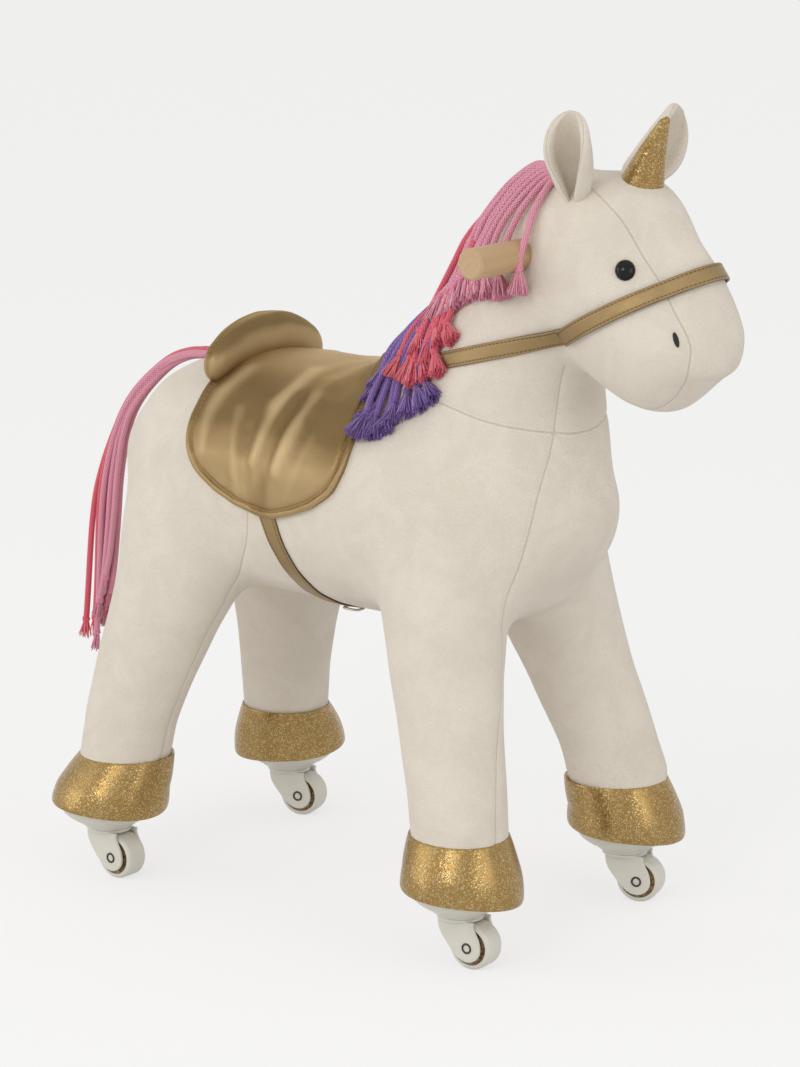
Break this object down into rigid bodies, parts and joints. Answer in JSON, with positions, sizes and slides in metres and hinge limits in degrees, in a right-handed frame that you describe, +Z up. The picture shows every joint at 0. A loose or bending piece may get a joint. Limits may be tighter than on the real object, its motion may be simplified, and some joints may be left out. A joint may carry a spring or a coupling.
{
  "type": "plush ride-on animal",
  "caption": "Plush ride-on unicorn with a padded saddle, a wooden grip bar through the neck, a bridle, braided cord mane and tail, and hooves on swivel casters.",
  "frame": {"origin": "on the floor under the middle of the animal's box, measured without its hanging cords", "axes": "+X forward, from tail to muzzle; +Y to the animal's left, along the grip bar; +Z up"},
  "size_m": [0.6736, 0.3284, 0.6817],
  "materials": {
    "cream_plush": "matte",
    "gold_leather": "satin",
    "gold_glitter": "satin",
    "beech": "satin",
    "black_gloss": "gloss",
    "black_thread": "matte",
    "cream_plastic": "satin",
    "dark_steel": "satin",
    "frame_steel": "satin",
    "pink_cord": "matte",
    "coral_cord": "matte",
    "purple_cord": "matte"
  },
  "bodies": {
    "animal": {"torso": "cream_plush", "neck": "cream_plush", "head": "cream_plush", "ear_right": "cream_plush", "ear_left": "cream_plush", "leg_front_right": "cream_plush", "leg_front_left": "cream_plush", "leg_rear_right": "cream_plush", "leg_rear_left": "cream_plush", "saddle": "gold_leather", "cantle_roll": "gold_leather", "girth_strap": "gold_leather", "girth_buckle": "frame_steel", "bridle_noseband": "gold_leather", "bridle_rein": "gold_leather", "horn": "gold_glitter", "hoof_front_right": "gold_glitter", "hoof_front_left": "gold_glitter", "hoof_rear_right": "gold_glitter", "hoof_rear_left": "gold_glitter", "handle": "beech", "eye_right": "black_gloss", "eye_left": "black_gloss", "nostril_right": "black_thread", "nostril_left": "black_thread", "mane_pink": "pink_cord", "mane_coral": "coral_cord", "mane_purple": "purple_cord", "tail_pink": "pink_cord", "tail_coral": "coral_cord", "dish_front_right": "cream_plastic", "dish_front_left": "cream_plastic", "dish_rear_right": "cream_plastic", "dish_rear_left": "cream_plastic", "tube_front_right": "frame_steel", "tube_front_left": "frame_steel", "tube_rear_right": "frame_steel", "tube_rear_left": "frame_steel", "crossbar_front": "frame_steel", "crossbar_rear": "frame_steel", "spine_tube": "frame_steel", "neck_post": "frame_steel"},
    "swivel_front_right": {"fork_front_right": "cream_plastic", "axle_front_right": "dark_steel", "stem_front_right": "dark_steel"},
    "swivel_front_left": {"fork_front_left": "cream_plastic", "axle_front_left": "dark_steel", "stem_front_left": "dark_steel"},
    "swivel_rear_right": {"fork_rear_right": "cream_plastic", "axle_rear_right": "dark_steel", "stem_rear_right": "dark_steel"},
    "swivel_rear_left": {"fork_rear_left": "cream_plastic", "axle_rear_left": "dark_steel", "stem_rear_left": "dark_steel"},
    "roller_front_right": {"wheel_front_right": "cream_plastic"},
    "roller_front_left": {"wheel_front_left": "cream_plastic"},
    "roller_rear_right": {"wheel_rear_right": "cream_plastic"},
    "roller_rear_left": {"wheel_rear_left": "cream_plastic"}
  },
  "joints": [
    {"name": "front_right_swivel", "type": "hinge", "parent": "animal", "child": "swivel_front_right", "pos_m": [0.136, -0.11, 0.04], "axis": [0, 0, 1], "continuous": true},
    {"name": "front_left_swivel", "type": "hinge", "parent": "animal", "child": "swivel_front_left", "pos_m": [0.136, 0.11, 0.04], "axis": [0, 0, 1], "continuous": true},
    {"name": "rear_right_swivel", "type": "hinge", "parent": "animal", "child": "swivel_rear_right", "pos_m": [-0.244, -0.117, 0.04], "axis": [0, 0, 1], "continuous": true},
    {"name": "rear_left_swivel", "type": "hinge", "parent": "animal", "child": "swivel_rear_left", "pos_m": [-0.244, 0.117, 0.04], "axis": [0, 0, 1], "continuous": true},
    {"name": "front_right_roll", "type": "hinge", "parent": "swivel_front_right", "child": "roller_front_right", "pos_m": [0.15052, -0.10852, 0.019], "axis": [-0.1011, 0.9949, 0], "continuous": true},
    {"name": "front_left_roll", "type": "hinge", "parent": "swivel_front_left", "child": "roller_front_left", "pos_m": [0.14985, 0.11463, 0.019], "axis": [-0.3173, 0.9483, 0], "continuous": true},
    {"name": "rear_right_roll", "type": "hinge", "parent": "swivel_rear_right", "child": "roller_rear_right", "pos_m": [-0.2294, -0.11705, 0.019], "axis": [0.0035, 1, 0], "continuous": true},
    {"name": "rear_left_roll", "type": "hinge", "parent": "swivel_rear_left", "child": "roller_rear_left", "pos_m": [-0.22995, 0.12097, 0.019], "axis": [-0.2723, 0.9622, 0], "continuous": true}
  ]
}
